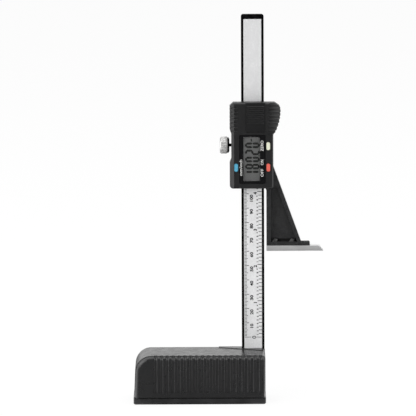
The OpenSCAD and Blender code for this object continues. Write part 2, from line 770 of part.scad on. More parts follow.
module display_case() {
    wall_y = case_y + case_wall;
    color([0.11, 0.11, 0.12]) difference() {
        panel(case_y, bed_y) slider_outline();
        edge_bevel(sx0 - waist, left_bevel, 1, sz0 - over, sz1 + over);
        edge_bevel(sx1, front_bevel, -1, sz0 - over, grip_foot - 1.2);
        // Soft bevels along the top and the bottom of the face
        for (s = [0, 1]) translate([sx0 - 2, case_y, s == 0 ? sz0 : sz1]) rotate([0, 90, 0])
            linear_extrude(sx1 - sx0 + 12) scale([s == 0 ? -1 : 1, 1])
                polygon([[-over, -over], [front_bevel + over, -over], [-over, front_bevel + over]]);
        grip_cuts();
        // Room for the display and the circuit board, with bosses for the case screws
        difference() {
            block(sx0 + side_wall, sx1 - side_wall, wall_y, bed_y + over, sz0 + side_wall,
                board_z1 + fit);
            for (p = case_bosses) rod_y(wall_y - 0.01, bed_y + 2 * over, p.x, p.y, case_boss_r);
            // Rounded blocks fill the corners behind the bosses
            for (p = case_bosses)
                block(p.x - (p.x < beam_xc ? case_boss_r : 0), p.x + (p.x < beam_xc ? 0 : case_boss_r),
                    wall_y - 0.01, bed_y + 2 * over, p.y - case_boss_r, p.y + case_boss_r);
        }
        for (p = case_bosses)
            rod_y(wall_y + 1.2, bed_y + over, p.x, p.y, screw_d / 2 + 0.05);
        // Seat of the bezel, and the opening that the glass looks through
        panel(case_y - over, case_y + bezel_set + bezel_t)
            round_rect(bezel_x0 - fit, bezel_x0 + bezel_w + fit, bezel_z0 - fit, bezel_z1 + fit, 0.9);
        block(lcd_x0 - lcd_rim, lcd_x0 + lcd_w + lcd_rim, case_y, wall_y + over,
            lcd_z0 - lcd_rim, lcd_z1 + lcd_rim);
        for (k = keys) {
            panel(case_y - over, wall_y + over) key_outline(k.x, k.y, key_fit);
            // Pocket in the side wall for the flange that stops the key falling out
            panel(wall_y - 0.01, wall_y + key_seat + key_flange_t + key_travel + fit)
                key_outline(k.x, k.y, key_flange + key_fit);
        }
        // Battery well and the slide for its door
        rod_y(case_y, well_y, cell_x, cell_z, well_r);
        block(door_x0 - door_fit, door_x1 + door_fit, case_y - over, case_y + door_t - door_lip_t,
            door_z0 - door_fit, sz1 + over);
        block(door_x0 - door_lip - door_fit, door_x1 + door_lip + door_fit,
            case_y + door_t - door_lip_t - door_fit, case_y + door_t + door_fit,
            door_z0 - door_fit, sz1 + over);
        // Slots that lead the battery contacts to the circuit board
        block(cell_x - contact_w / 2 - fit, cell_x + contact_w / 2 + fit,
            well_y - contact_t - fit, well_y, board_z1, cell_z);
        block(plus_x - fit, plus_x + contact_t + fit, cell_y + 1, cell_y + cell_t - 0.8,
            board_z1, cell_z + plus_len);
    }
}

module display_bezel() {
    y0 = case_y + bezel_set;
    color([0.02, 0.02, 0.02]) difference() {
        panel(y0, y0 + bezel_t)
            round_rect(bezel_x0, bezel_x0 + bezel_w, bezel_z0, bezel_z1, 0.8);
        block(lcd_x0, lcd_x0 + lcd_w, y0 - over, y0 + bezel_t + over, lcd_z0, lcd_z1);
    }
}

module display_window() {
    y0 = case_y + bezel_set + 0.05;
    color([0.7, 0.75, 0.75, 0.4]) block(lcd_x0, lcd_x0 + lcd_w, y0, y0 + bezel_t - 0.1, lcd_z0, lcd_z1);
}

module lcd_glass() {
    color([0.4, 0.42, 0.4]) block(lcd_x0 - 0.8, lcd_x0 + lcd_w + 0.8, lcd_y, lcd_y + lcd_t,
        lcd_z0 - 0.3, lcd_z1 + 0.3);
}

// Elastic strips that join the glass to the circuit board
module lcd_connectors() {
    color([0.85, 0.5, 0.6]) for (x = [lcd_x0 - 0.5, lcd_x0 + lcd_w - connector_w + 0.5])
        block(x, x + connector_w, lcd_y + lcd_t, board_y, lcd_z0 + 2, lcd_z1 - 2);
}

module main_board() {
    color([0.1, 0.35, 0.2]) difference() {
        block(board_x0, board_x1, board_y, rail_y, board_z0, board_z1);
        rod_y(board_y - over, rail_y + over, arm_screw_x, arm_screws_z[1], screw_d / 2 + fit);
    }
}

module sensor_chip() {
    color([0.05, 0.05, 0.05]) translate([beam_xc - 0.8, board_y, sz0 + slider_h * 0.3])
        rotate([90, 0, 0]) cylinder(h = 0.9, r1 = chip_r, r2 = chip_r - 1);
}

module key_domes() {
    color([0.75, 0.75, 0.77]) for (k = keys)
        translate([k.x, board_y, k.y]) rotate([90, 0, 0]) cylinder(h = dome_h, r1 = 1.6, r2 = 0.8);
}

// A key: rounded cap, flange behind the case's wall, and a stem down to its dome
module key(k) {
    wall_y = case_y + case_wall;
    panel(case_y - key_proud, wall_y + key_seat) key_outline(k.x, k.y);
    panel(wall_y + key_seat, wall_y + key_seat + key_flange_t) key_outline(k.x, k.y, key_flange);
    rod_y(wall_y + key_seat + key_flange_t - 0.01, key_stem_end, k.x, k.y, key_w * 0.4);
}
module zero_key() { color([0.95, 0.94, 0.82]) key(keys[0]); }
module power_key() { color([0.9, 0.28, 0.2]) key(keys[1]); }
module unit_key() { color([0.3, 0.68, 0.88]) key(keys[2]); }

// Battery

module battery() {
    groove = 0.7;
    color([0.75, 0.75, 0.77]) translate([cell_x, cell_y, cell_z]) rotate([-90, 0, 0])
        rotate_extrude() polygon([[0, 0], [cell_d / 2 - 0.5, 0], [cell_d / 2, 0.5],
            [cell_d / 2, cell_t - groove], [cell_d / 2 - 1, cell_t - groove + 0.1],
            [cell_d / 2 - 1.2, cell_t], [0, cell_t]]);
}

module battery_contact_negative() {
    y0 = well_y - contact_t;
    color([0.8, 0.7, 0.4]) union() {
        rod_y(y0, well_y, cell_x, cell_z, cell_d * 0.3);
        block(cell_x - contact_w / 2, cell_x + contact_w / 2, y0, well_y, board_z1 - 2, cell_z);
    }
}

module battery_contact_positive() {
    color([0.8, 0.7, 0.4]) block(plus_x, plus_x + contact_t, cell_y + 1.1, cell_y + cell_t - 0.9,
        board_z1 - 2, cell_z + plus_len - fit);
}

// Door that slides up out of the case, with thumb ribs across it
module battery_door() {
    y1 = case_y + door_t;
    mid_y = y1 - door_lip_t;
    color([0.11, 0.11, 0.12]) union() {
        block(door_x0, door_x1, case_y, y1, door_z0, sz1);
        block(door_x0 - door_lip, door_x1 + door_lip, mid_y, y1, door_z0, sz1);
        for (i = [0:door_ribs - 1]) let (z = cell_z - 3.8 + i * rib_pitch)
            translate([door_x0 + 0.6, case_y, z]) rotate([90, 0, 90])
                linear_extrude(door_w - 1.2) polygon([[0, -0.45], [-rib_proud, -0.15],
                    [-rib_proud, 0.15], [0, 0.45]]);
    }
}

// Arm and blade

// X of the arm's slanting edge at height z
function slant_x(z) = arm_x0 + arm_foot - (z - foot_z1) * arm_lean;

module arm_bracket() {
    recess_top = sz0 - 0.6;
    slant_rim = arm_rim * 0.88;
    color([0.1, 0.1, 0.11]) difference() {
        panel(rail_y, arm_y1) polygon([[arm_x0, blade_z1],
            [arm_x0 + arm_toe, blade_z1], [arm_x0 + arm_toe, foot_z1 - 0.5],
            [arm_x0 + arm_toe - 0.5, foot_z1], [arm_x0 + arm_foot, foot_z1],
            [tongue_x1, foot_z1 + (arm_x0 + arm_foot - tongue_x1) / arm_lean],
            [tongue_x1, tongue_z1 - fit], [arm_x0, tongue_z1 - fit], [arm_x0, sz0],
            [arm_x0 - arm_gusset, sz0], [arm_x0, sz0 - 2 * arm_gusset]]);
        // Triangular recess between the rims, closed by the web at the rear
        panel(rail_y - over, arm_y1 - arm_web) polygon([[arm_x0 + arm_rim, foot_z1],
            [slant_x(foot_z1) - slant_rim, foot_z1],
            [slant_x(recess_top) - slant_rim, recess_top], [arm_x0 + arm_rim, recess_top]]);
        // Shallow relief in the back of the web
        panel(arm_y1 - arm_relief, arm_y1 + over) polygon([
            [arm_x0 + arm_rim, foot_z1 + arm_rim],
            [slant_x(foot_z1 + arm_rim) - slant_rim - 1, foot_z1 + arm_rim],
            [slant_x(recess_top - arm_rim) - slant_rim - 1, recess_top - arm_rim],
            [arm_x0 + arm_rim, recess_top - arm_rim]]);
        for (z = arm_screws_z)
            rear_screw_hole(arm_screw_x, z, arm_y1, arm_d + over, screw_d, screw_head_r,
                screw_head_h);
        for (x = blade_screw_x)
            rod_z(blade_z1 - over, foot_z1 + over, x, blade_screw_y, blade_screw_d / 2 + fit);
    }
}

module arm_screws() {
    color([0.6, 0.6, 0.62]) for (z = arm_screws_z)
        rear_screw(arm_screw_x, z, arm_y1, arm_screw_len, screw_d, screw_head_r, screw_head_h);
}

module measuring_blade() {
    edge = 0.3;
    x1 = arm_x0 + blade_len;
    color([0.7, 0.7, 0.71]) difference() {
        panel(rail_y, arm_y1) polygon([[arm_x0, rest_h], [x1, rest_h], [x1, rest_h + edge],
            [x1 - blade_bevel, blade_z1], [arm_x0, blade_z1]]);
        for (x = blade_screw_x)
            rod_z(rest_h + 0.8, blade_z1 + over, x, blade_screw_y, blade_screw_d / 2 + 0.05);
    }
}

module blade_screws() {
    head_r = blade_screw_d * 0.66;
    head_h = blade_screw_d * 0.52;
    color([0.72, 0.72, 0.74]) for (x = blade_screw_x) difference() {
        union() {
            rod_z(rest_h + 1.2, foot_z1, x, blade_screw_y, blade_screw_d / 2);
            rod_z(foot_z1, foot_z1 + head_h * 0.6, x, blade_screw_y, head_r);
            rod_z(foot_z1 + head_h * 0.6, foot_z1 + head_h, x, blade_screw_y, head_r, head_r * 0.7);
        }
        cross_recess(x, blade_screw_y, foot_z1 + head_h, blade_screw_d);
    }
}

base_shell();
ground_plate();
base_magnets();
ground_plate_screws();
beam_clamp();
clamp_screws();
beam_screws();
beam();
stator_strip();
scale_label();
end_stop();
end_stop_screw();
slider_frame();
back_plate();
back_plate_screws();
lock_nut();
lock_pad();
lock_screw();
display_case();
display_bezel();
display_window();
lcd_glass();
lcd_connectors();
main_board();
sensor_chip();
key_domes();
zero_key();
power_key();
unit_key();
battery();
battery_contact_negative();
battery_contact_positive();
battery_door();
arm_bracket();
arm_screws();
measuring_blade();
blade_screws();
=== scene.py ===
from math import cos, pi, radians, sin

import bmesh
import bpy
from mathutils import Matrix, Vector


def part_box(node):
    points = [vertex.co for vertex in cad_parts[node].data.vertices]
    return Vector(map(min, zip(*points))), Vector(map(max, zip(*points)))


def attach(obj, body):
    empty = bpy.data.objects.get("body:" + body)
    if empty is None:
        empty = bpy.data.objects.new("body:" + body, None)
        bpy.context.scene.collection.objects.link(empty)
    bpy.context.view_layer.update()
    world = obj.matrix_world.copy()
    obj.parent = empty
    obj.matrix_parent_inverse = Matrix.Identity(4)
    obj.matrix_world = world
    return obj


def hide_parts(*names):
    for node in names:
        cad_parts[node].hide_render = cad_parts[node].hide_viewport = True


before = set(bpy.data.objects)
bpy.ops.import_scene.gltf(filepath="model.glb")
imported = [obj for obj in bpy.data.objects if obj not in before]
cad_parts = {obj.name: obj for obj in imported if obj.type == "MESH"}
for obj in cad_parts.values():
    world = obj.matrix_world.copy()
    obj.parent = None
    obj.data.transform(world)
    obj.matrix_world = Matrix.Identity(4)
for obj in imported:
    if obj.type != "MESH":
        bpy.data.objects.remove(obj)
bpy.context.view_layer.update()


# Base shell: one injection moulding in black glass-filled nylon, fluted along its front, with its
# edges rolled over and a fine spark-eroded grain. It is screwed to the ground plate from below.

MM = 0.001


class Wire:
    """One output of a node tree. Arithmetic on it adds Math nodes, node() adds any other node."""

    def __init__(self, tree, socket=None):
        self.tree, self.socket = tree, socket

    def node(self, kind, settings=(), inputs=(), out=0):
        new = self.tree.nodes.new("ShaderNode" + kind)
        for key, value in dict(settings).items():
            if key == "stops":
                ramp = new.color_ramp.elements
                for (place, tone), element in zip((value[0], value[-1]), (ramp[0], ramp[1])):
                    element.position, element.color = place, (tone, tone, tone, 1)
                for place, tone in value[1:-1]:
                    ramp.new(place).color = (tone, tone, tone, 1)
            else:
                setattr(new, key, value)
        for key, value in dict(inputs).items():
            if isinstance(value, Wire):
                self.tree.links.new(value.socket, new.inputs[key])
            else:
                new.inputs[key].default_value = value
        return Wire(self.tree, new.outputs[out] if new.outputs else None)

    def maths(self, operation, *values):
        return self.node("Math", {"operation": operation}, enumerate(values))

    def ramp(self, *stops):
        return self.node("ValToRGB", {"stops": stops}, {0: self})

    def mix(self, low, high):
        """The colour low where this wire is 0, and high where it is 1."""
        ends = {6: low, 7: high}
        ends = {key: c if isinstance(c, Wire) else (*c, 1) for key, c in ends.items()}
        return self.node("Mix", {"data_type": "RGBA"}, {0: self, **ends}, out=2)

    def axis(self, index):
        return self.node("SeparateXYZ", inputs={0: self}, out=index)

    def __add__(self, other):
        return self.maths("ADD", self, other)

    def __sub__(self, other):
        return self.maths("SUBTRACT", self, other)

    def __rsub__(self, other):
        return self.maths("SUBTRACT", other, self)

    def __mul__(self, other):
        return self.maths("MULTIPLY", self, other)

    def __truediv__(self, other):
        return self.maths("DIVIDE", self, other)

    def __lt__(self, other):
        return self.maths("LESS_THAN", self, other)

    def __gt__(self, other):
        return self.maths("GREATER_THAN", self, other)

    __radd__ = __add__
    __rmul__ = __mul__


class Finish:
    """A procedural material that is laid out in the object's own coordinates, in metres."""

    def __init__(self, name):
        self.material = bpy.data.materials.new(name)
        self.material.use_nodes = True
        self.material.node_tree.nodes.clear()
        self.tree = Wire(self.material.node_tree)
        self.place = self.tree.node("TexCoord", out=3)

    def stretched(self, x, y, z):
        """The coordinates pressed together along an axis, which draws a pattern out along it."""
        return self.tree.node("Mapping", {}, {0: self.place, 3: (x, y, z)})

    def noise(self, size, detail=2.0, place=None, rough=0.5):
        """Noise from 0 to 1 whose lumps are about this many metres across."""
        return self.tree.node("TexNoise", {}, {"Vector": place or self.place, "Scale": 1 / size,
                                               "Detail": detail, "Roughness": rough})

    def spots(self, size):
        """Cells about this many metres across, 0 at the middle of each."""
        return self.tree.node("TexVoronoi", {}, {"Vector": self.place, "Scale": 1 / size})

    def close(self, colour, roughness, height=None, depth=0.02 * MM, crown=None, **constants):
        """The Principled shader: a bump of this depth from a height, over one from a crown."""
        inputs = {"Base Color": colour if isinstance(colour, Wire) else (*colour, 1),
                  "Roughness": roughness}
        inputs.update({key.replace("_", " "): value for key, value in constants.items()})
        if height is not None:
            bump = {"Strength": 1.0, "Distance": depth, "Height": height}
            if crown is not None:
                bump["Normal"] = self.tree.node("Bump", {}, {"Strength": 1.0, "Distance": 1 * MM,
                                                             "Height": crown})
            inputs["Normal"] = self.tree.node("Bump", {}, bump)
        shader = self.tree.node("BsdfPrincipled", {}, inputs)
        self.tree.node("OutputMaterial", {}, {0: shader})
        return self.material


def moulded(name, dark, light, gloss, grain=0.25 * MM, depth=0.012 * MM, shine=0.55, crown=None):
    """Moulded plastic: eroded grain, faint flow marks and a sheen made uneven by handling."""
    finish = Finish(name)
    curve = crown(finish) if crown else None
    grains = finish.noise(grain, 3.0)
    flow = finish.noise(9 * MM, 2.0, finish.stretched(1, 1, 0.35))
    rubbed = finish.noise(3.5 * MM, 4.0).ramp((0.35, 0), (0.7, 1))
    tone = (flow * 0.7 + grains * 0.3).mix(dark, light)
    return finish.close(tone, gloss + 0.1 * (1 - rubbed) + 0.06 * grains,
                        grains + 0.4 * finish.spots(2.2 * grain), depth, curve,
                        Specular_IOR_Level=shine)


def welded(node):
    """A CAD node's surface with its loose triangles joined up and its flat faces made whole."""
    work = bmesh.new()
    work.from_mesh(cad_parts[node].data)
    bmesh.ops.remove_doubles(work, verts=work.verts, dist=0.002 * MM)
    bmesh.ops.dissolve_limit(work, angle_limit=radians(0.4), verts=work.verts, edges=work.edges)
    return work


def soften(work, width, sharper_than=35, segments=2, where=None):
    """Rounds the sharp edges, as a mould or a deburring wheel leaves them."""
    edges = [e for e in work.edges if len(e.link_faces) == 2
             and e.calc_face_angle() > radians(sharper_than) and (where is None or where(e))]
    bmesh.ops.bevel(work, geom=edges, offset=width, offset_type="OFFSET", segments=segments,
                    profile=0.5, affect="EDGES", clamp_overlap=False, material=-1)
    return work


def fit(work, name, body, slot, material, *nodes, smooth=32):
    """Ends a piece: mesh, shading, finish, the body that carries it, the nodes it stands for."""
    mesh = bpy.data.meshes.new(name)
    work.to_mesh(mesh)
    work.free()
    for layer in ("custom_normal", "sharp_face"):
        if layer in mesh.attributes:
            mesh.attributes.remove(mesh.attributes[layer])
    mesh.materials.clear()
    mesh.materials.append(material)
    mesh.shade_smooth()
    mesh.set_sharp_from_angle(angle=radians(smooth))
    piece = bpy.data.objects.new(name, mesh)
    bpy.context.scene.collection.objects.link(piece)
    piece.modifiers.new("even_flats", "WEIGHTED_NORMAL").keep_sharp = True
    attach(piece, body)
    if nodes:
        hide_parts(*nodes)


base_plastic = moulded("base_plastic", (0.007, 0.007, 0.0075), (0.014, 0.014, 0.0145), 0.22)
shell_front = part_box("base_shell")[0].y


def shell_corner(edge):
    """The shell's long outer edges, but not the rims of its flutes."""
    ends = [v.co for v in edge.verts]
    return edge.calc_length() > 4 * MM and min(p.y for p in ends) > shell_front + 4 * MM


shell = soften(welded("base_shell"), 0.3 * MM, where=shell_corner)
fit(shell, "shell", "stand", "moulded_black", base_plastic, "base_shell", smooth=28)


# Wedge clamp: a tapered block of the same moulding behind the beam. Four countersunk screws draw
# it into the shell, which pinches the foot of the beam and leaves the wedge a little proud.


def long_edge(edge):
    """Straight edges, but not the short chords of a screw hole."""
    return edge.calc_length() > 1 * MM


wedge = welded("beam_clamp")
wedge_top, wedge_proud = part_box("beam_clamp")[1].z, 0.3 * MM
for vert in wedge.verts:
    if vert.co.z > wedge_top - 0.2 * MM:
        vert.co.z += wedge_proud
fit(soften(wedge, 0.12 * MM, where=long_edge), "wedge", "stand", "moulded_black", base_plastic,
    "beam_clamp", smooth=28)


def plated(name, colour, gloss):
    """Plated metal: fine tool marks and faint tarnish."""
    finish = Finish(name)
    marks = finish.noise(0.35 * MM, 4.0, rough=0.7)
    tarnish = finish.noise(2.5 * MM, 3.0)
    dull = tuple(channel * 0.72 for channel in colour)
    tone = (tarnish * 0.6 + marks * 0.4).ramp((0.3, 0), (0.75, 1)).mix(dull, colour)
    return finish.close(tone, gloss + 0.06 * tarnish + 0.1 * marks, marks, 0.004 * MM,
                        Metallic=1.0)


def cross_screw(work, seat, head_r, head_h, shank_r, length, turn):
    """A countersunk screw with a cross recess, its face up in its own frame, moved to seat."""
    made = []

    def ring(count, radius, depth):
        loop = bmesh.ops.create_circle(work, segments=count, radius=radius,
                                       matrix=Matrix.Translation((0, 0, -depth)))["verts"]
        made.extend(loop)
        return loop

    def edges_of(loop):
        inside = set(loop)
        return [e for e in {e for v in loop for e in v.link_edges} if set(e.verts) <= inside]

    def join(first, second):
        bmesh.ops.bridge_loops(work, edges=edges_of(first) + edges_of(second))

    recess = []
    slot, reach = head_r * 0.13, head_r * 0.62
    for depth, share in ((0.0, 1.0), (head_h * 0.55, 0.55)):
        loop = ring(12, 1, depth)
        for index, vert in enumerate(loop):
            angle = pi / 2 * ((index + 1) // 3)
            along, aside = ((slot, -slot), (reach * share, -slot), (reach * share, slot))[
                (index + 1) % 3]
            vert.co.x = along * cos(angle) - aside * sin(angle)
            vert.co.y = along * sin(angle) + aside * cos(angle)
        recess.append(loop)
    bmesh.ops.contextual_create(work, geom=edges_of(recess[1]))
    join(recess[0], recess[1])
    rim = ring(24, head_r * 0.94, 0)
    join(recess[0], rim)
    for radius, depth in ((head_r, head_h * 0.12), (shank_r, head_h), (shank_r, length - 0.3 * MM),
                          (shank_r * 0.6, length)):
        lower = ring(24, radius, depth)
        join(rim, lower)
        rim = lower
    bmesh.ops.contextual_create(work, geom=edges_of(rim))
    bmesh.ops.transform(work, matrix=seat @ Matrix.Rotation(turn, 4, "Z"), verts=made)


def centres(node, axis_a, axis_b, reach):
    """Middles of a node's separate solids, which are told apart across two axes."""
    found = []
    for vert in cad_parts[node].data.vertices:
        spot = vert.co
        for group in found:
            if (abs(group[0][axis_a] - spot[axis_a]) < reach
                    and abs(group[0][axis_b] - spot[axis_b]) < reach):
                group.append(spot.copy())
                break
        else:
            found.append([spot.copy()])
    boxes = []
    for group in found:
        low = Vector([min(p[i] for p in group) for i in range(3)])
        high = Vector([max(p[i] for p in group) for i in range(3)])
        boxes.append((low, high))
    return boxes


def rear_screws(node, name, body, slot, material, head_h, shank_r, reach):
    """Countersunk screws that face the rear, one for each solid of the node."""
    work = bmesh.new()
    for index, (low, high) in enumerate(centres(node, 0, 2, reach)):
        middle = (low + high) / 2
        seat = Matrix.Translation((middle.x, high.y, middle.z)) @ Matrix.Rotation(-pi / 2, 4, "X")
        cross_screw(work, seat, (high.x - low.x) / 2, head_h, shank_r, high.y - low.y,
                    0.4 + 1.1 * index)
    bmesh.ops.recalc_face_normals(work, faces=work.faces)
    fit(work, name, body, slot, material, node, smooth=40)


dark_zinc = plated("dark_zinc", (0.09, 0.09, 0.095), 0.3)
for node, name in (("clamp_screws", "wedge_screws"), ("beam_screws", "beam_fixing_screws")):
    rear_screws(node, name, "stand", "screw_dark", dark_zinc, 1.5 * MM, 1.5 * MM, 4 * MM)


# Ground plate: a steel bar, ground flat below and blacked, that gives the gauge its weight.
# A narrow raised step keeps the shell clear of its edge and leaves a shadow line.


def blacked(name):
    finish = Finish(name)
    grit = finish.noise(0.3 * MM, 4.0)
    cloud = finish.noise(7 * MM, 3.0).ramp((0.3, 0), (0.75, 1))
    tone = cloud.mix((0.012, 0.012, 0.0125), (0.022, 0.022, 0.023))
    return finish.close(tone, 0.28 + 0.16 * cloud + 0.05 * grit, grit, 0.006 * MM,
                        Specular_IOR_Level=0.3)


fit(soften(welded("ground_plate"), 0.25 * MM, 40), "plate", "stand", "plate_black",
    blacked("blacked_steel"), "ground_plate", smooth=28)


# Magnets and plate screws: four nickel-plated discs glued flush into the plate's underside, and
# the four countersunk screws that hold plate and shell together.

nickel = plated("nickel", (0.62, 0.61, 0.58), 0.2)
fit(soften(welded("base_magnets"), 0.25 * MM), "magnets", "stand", "magnet", nickel,
    "base_magnets")

plate_screws = bmesh.new()
for low, high in centres("ground_plate_screws", 0, 1, 4 * MM):
    middle = (low + high) / 2
    seat = Matrix.Translation((middle.x, middle.y, low.z)) @ Matrix.Rotation(pi, 4, "X")
    cross_screw(plate_screws, seat, (high.x - low.x) / 2, 1.5 * MM, 1.5 * MM, high.z - low.z, 0.7)
bmesh.ops.recalc_face_normals(plate_screws, faces=plate_screws.faces)
fit(plate_screws, "plate_screws", "stand", "screw_dark", dark_zinc, "ground_plate_screws",
    smooth=40)


# Rule beam: a flat bar of woven carbon fibre in epoxy, sanded at its edges. The slider's rails run
# on it, and a shallow bed in its front takes the measuring strip and the printed label.


def woven(name):
    """Two over, two under carbon twill below a clear skin of resin."""
    finish = Finish(name)
    tow = 1.6 * MM
    along, up = finish.place.axis(0) / tow, finish.place.axis(2) / tow
    step = along.maths("FLOOR", along) + up.maths("FLOOR", up)
    over = step.maths("FLOORED_MODULO", step, 4) < 1.5
    crown_up = 1 - 2 * up.maths("ABSOLUTE", up.maths("FRACT", up) - 0.5)
    crown_across = 1 - 2 * along.maths("ABSOLUTE", along.maths("FRACT", along) - 0.5)
    crown = over * crown_up + (1 - over) * crown_across
    fibres = finish.noise(0.12 * MM, 2.0, finish.stretched(1, 1, 0.2))
    tone = (over * 0.7 + fibres * 0.3).mix((0.0005, 0.0005, 0.0005), (0.004, 0.004, 0.0045))
    return finish.close(tone, 0.42 + 0.12 * fibres, crown, 0.03 * MM, Specular_IOR_Level=0.03)


carbon = woven("carbon_twill")
fit(soften(welded("beam"), 0.08 * MM), "rule_beam", "stand", "composite", carbon, "beam")


# End stop: a small moulded block that one screw holds to the back of the beam, so that the slider
# can't run off the top.

bright_zinc = plated("bright_zinc", (0.6, 0.6, 0.6), 0.22)
fit(soften(welded("end_stop"), 0.2 * MM, where=long_edge), "stop_block", "stand",
    "moulded_black", base_plastic, "end_stop")
rear_screws("end_stop_screw", "stop_screw", "stand", "screw_bright", bright_zinc, 0.9 * MM,
            0.95 * MM, 4 * MM)


# Measuring strip and label: an etched copper pattern on the beam that the slider's chip reads, and
# over it a thin aluminium-coloured film, printed in black with millimetres and inches.


def etched_copper(name):
    finish = Finish(name)
    up = finish.place.axis(2) / (2.54 * MM)
    bars = up.maths("FRACT", up) > 0.45
    tone = bars.mix((0.03, 0.1, 0.05), (0.72, 0.36, 0.17))
    return finish.close(tone, 0.25 + 0.1 * finish.noise(0.5 * MM), bars, 0.02 * MM,
                        Metallic=bars)


def dress(node, material):
    """Gives a CAD node that stays as it is its finish."""
    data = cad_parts[node].data
    data.materials.clear()
    data.materials.append(material)


def printed_film(name):
    finish = Finish(name)
    rolled = finish.noise(0.25 * MM, 3.0, finish.stretched(1, 1, 0.03))
    handling, specks = finish.noise(6 * MM, 3.0), finish.noise(0.9 * MM, 1.0)
    tone = rolled * 0.25 + handling * 0.3 + specks * 0.45
    up = finish.place.axis(2)
    # Painted shade: from 0.1 m up the film is coloured greyer with its height
    painted_shade_higher = 3.3 * up.maths("MAXIMUM", up - 0.1, 0)
    tone = (tone.ramp((0.3, 0), (0.7, 1)) - painted_shade_higher).mix((0.58, 0.58, 0.585), (0.74, 0.74, 0.745))
    return finish.close(tone, 0.36 + 0.1 * handling, rolled, 0.004 * MM, Metallic=0.1)


dress("stator_strip", etched_copper("etched_copper"))
dress("scale_label", printed_film("silver_film"))

to_front = Matrix.Rotation(pi / 2, 4, "X")
to_front_upward = Matrix.Rotation(-pi / 2, 4, "Y") @ to_front
ink_height = 0.04 * MM


def line(work, x0, x1, z, weight, y):
    """One printed line across a face, half sunk in it."""
    bmesh.ops.create_cube(work, size=1, matrix=Matrix.Translation(((x0 + x1) / 2, y, z))
                          @ Matrix.Diagonal((x1 - x0, 2 * ink_height, weight, 1)))


def lettering(work, words, cap, middle, length=None, bold=0.0):
    """Printed characters of one cap height round a middle, read upwards."""
    curve = bpy.data.curves.new("characters", "FONT")
    curve.body, curve.offset, curve.extrude, curve.resolution_u = words, bold, 0.014, 3
    carrier = bpy.data.objects.new("characters", curve)
    bpy.context.scene.collection.objects.link(carrier)
    bpy.context.view_layer.update()
    mesh = bpy.data.meshes.new_from_object(carrier)
    bpy.data.objects.remove(carrier)
    low = Vector([min(v.co[i] for v in mesh.vertices) for i in range(3)])
    high = Vector([max(v.co[i] for v in mesh.vertices) for i in range(3)])
    size = cap / (high.y - low.y)
    stretch = 1.0 if length is None else length / ((high.x - low.x) * size)
    mesh.transform(Matrix.Translation(middle) @ to_front_upward
                   @ Matrix.Diagonal((size * stretch, size, size, 1))
                   @ Matrix.Translation(-(low + high) / 2))
    work.from_mesh(mesh)
    bpy.data.meshes.remove(mesh)


def ink(name, colour, gloss=0.5):
    finish = Finish(name)
    body = finish.noise(0.2 * MM, 3.0)
    thin = tuple(channel * 0.85 + 0.004 for channel in colour)
    return finish.close(body.mix(colour, thin), gloss + 0.1 * body, body, 0.002 * MM,
                        Specular_IOR_Level=0.15)


label_low, label_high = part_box("scale_label")
label_left, label_right, label_face = label_low.x, label_high.x, label_low.y
tick_left, tick_right = label_left + 0.3 * MM, label_right - 0.1 * MM
zero_z, tenth_inch = 41.5 * MM, 2.54 * MM
scale = bmesh.new()
line(scale, tick_left, label_left + 4.7 * MM, zero_z, 0.3 * MM, label_face)
line(scale, label_right - 3.5 * MM, tick_right, zero_z, 0.3 * MM, label_face)
lettering(scale, "0", 3.0 * MM, (label_left + 6.8 * MM, label_face, zero_z - 0.1 * MM), bold=0.01)
for step in range(1, 161):
    tick_end = 3.3 if step % 10 == 0 else 2.6 if step % 5 == 0 else 1.9
    line(scale, tick_left, label_left + tick_end * MM, zero_z + step * MM,
         0.42 * MM if step % 10 == 0 else 0.34 * MM, label_face)
    if step % 10 == 0:
        words = str(step)
        length = 1.85 * len(words) - (0.75 if words[0] == "1" else 0.1)
        lettering(scale, words, 2.3 * MM, (label_left + 5.15 * MM, label_face,
                                           zero_z + (step - 0.6 - length / 2) * MM),
                  length * MM, bold=0.04)
for tenth in range(1, 64):
    z = zero_z + tenth_inch * tenth
    whole = tenth % 10 == 0
    line(scale, label_right - (3.0 if whole else 2.2) * MM, tick_right, z,
         0.45 * MM if whole else 0.4 * MM, label_face)
    if whole:
        lettering(scale, str(tenth // 10), 2.3 * MM, (label_right - 4.5 * MM, label_face,
                                                      z - 1.25 * MM), bold=0.05)
    else:
        lettering(scale, str(tenth % 10), 1.3 * MM, (label_right - 3.0 * MM, label_face,
                                                     z - 0.75 * MM), bold=0.06)
black_ink = ink("black_ink", (0.004, 0.004, 0.005))
fit(scale, "printed_scale", "stand", "label_silver", black_ink)


# Slider frame and back plate: a moulded U-shaped rail that runs on three sides of the beam, closed
# at the back by a plate. Three long screws go through both into the bosses of the display case.

grip_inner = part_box("display_bezel")[1].x + 1.4 * MM
grip_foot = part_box("battery_door")[0].z - 3 * MM


def plain_edge(edge):
    """Edges outside the slider's thumb grip, whose grooves stay crisp."""
    spot = (edge.verts[0].co + edge.verts[1].co) / 2
    return spot.x < grip_inner or spot.z < grip_foot


def lowered(work):
    """The rear parts of the slider end a little below the top of its case."""
    drop, reach = 1.2 * MM, 2.4 * MM
    top = max(v.co.z for v in work.verts)
    for vert in work.verts:
        vert.co.z -= drop * max(0, vert.co.z - top + reach) / reach
    return work


slider_plastic = moulded("slider_plastic", (0.005, 0.005, 0.0055), (0.010, 0.010, 0.0105), 0.36)
fit(soften(lowered(welded("slider_frame")), 0.12 * MM, where=plain_edge), "rail_frame", "slider",
    "moulded_black", slider_plastic, "slider_frame", smooth=28)
fit(soften(lowered(welded("back_plate")), 0.3 * MM, where=long_edge), "rear_plate", "slider",
    "moulded_black", slider_plastic, "back_plate", smooth=28)
rear_screws("back_plate_screws", "case_screws", "slider", "screw_bright", bright_zinc, 0.9 * MM,
            0.95 * MM, 4 * MM)


# Lock: a knurled, nickel-plated thumb screw in a brass nut in the frame's left rail. Its end
# drives a loose brass pad against the edge of the beam.

